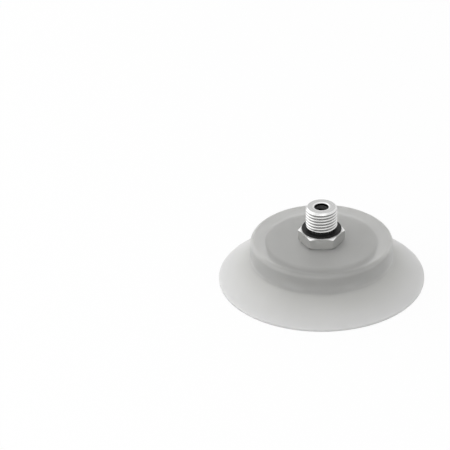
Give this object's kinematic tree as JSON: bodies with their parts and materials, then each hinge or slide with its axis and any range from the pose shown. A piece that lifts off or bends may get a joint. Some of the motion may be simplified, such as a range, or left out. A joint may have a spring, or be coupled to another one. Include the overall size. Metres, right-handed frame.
{
  "type": "flat vacuum cup",
  "caption": "Flat round vacuum cup with a flexing silicone lip, a stiff disc over a support plate, and a screw-in nipple with a hexagon, seal ring and through bore.",
  "frame": {"origin": "on the axis of the cup, in the plane that the relaxed sealing edge stands on", "axes": "+Z along the axis of the cup, from the sealing edge to the thread; a flat of the hexagon faces -Y"},
  "size_m": [0.0856, 0.0856, 0.0344],
  "materials": {
    "nipple_metal": "turned and milled, satin",
    "seal_rubber": "moulded, satin black",
    "plate_metal": "satin",
    "silicone": "milky translucent silicone, satin"
  },
  "bodies": {
    "holder": {"connection_nipple": "nipple_metal", "thread_seal_ring": "seal_rubber", "support_plate": "plate_metal", "cup_disc": "silicone"},
    "rim": {"lip_skirt": "silicone", "sealing_edge": "silicone"}
  },
  "joints": [
    {"name": "lip_stroke", "type": "slide", "parent": "holder", "child": "rim", "axis": [0, 0, 1], "range_m": [0, 0.005], "stiffness_N_per_m": 1200, "springref_m": -0.0008, "deforming": ["lip_skirt"]}
  ]
}
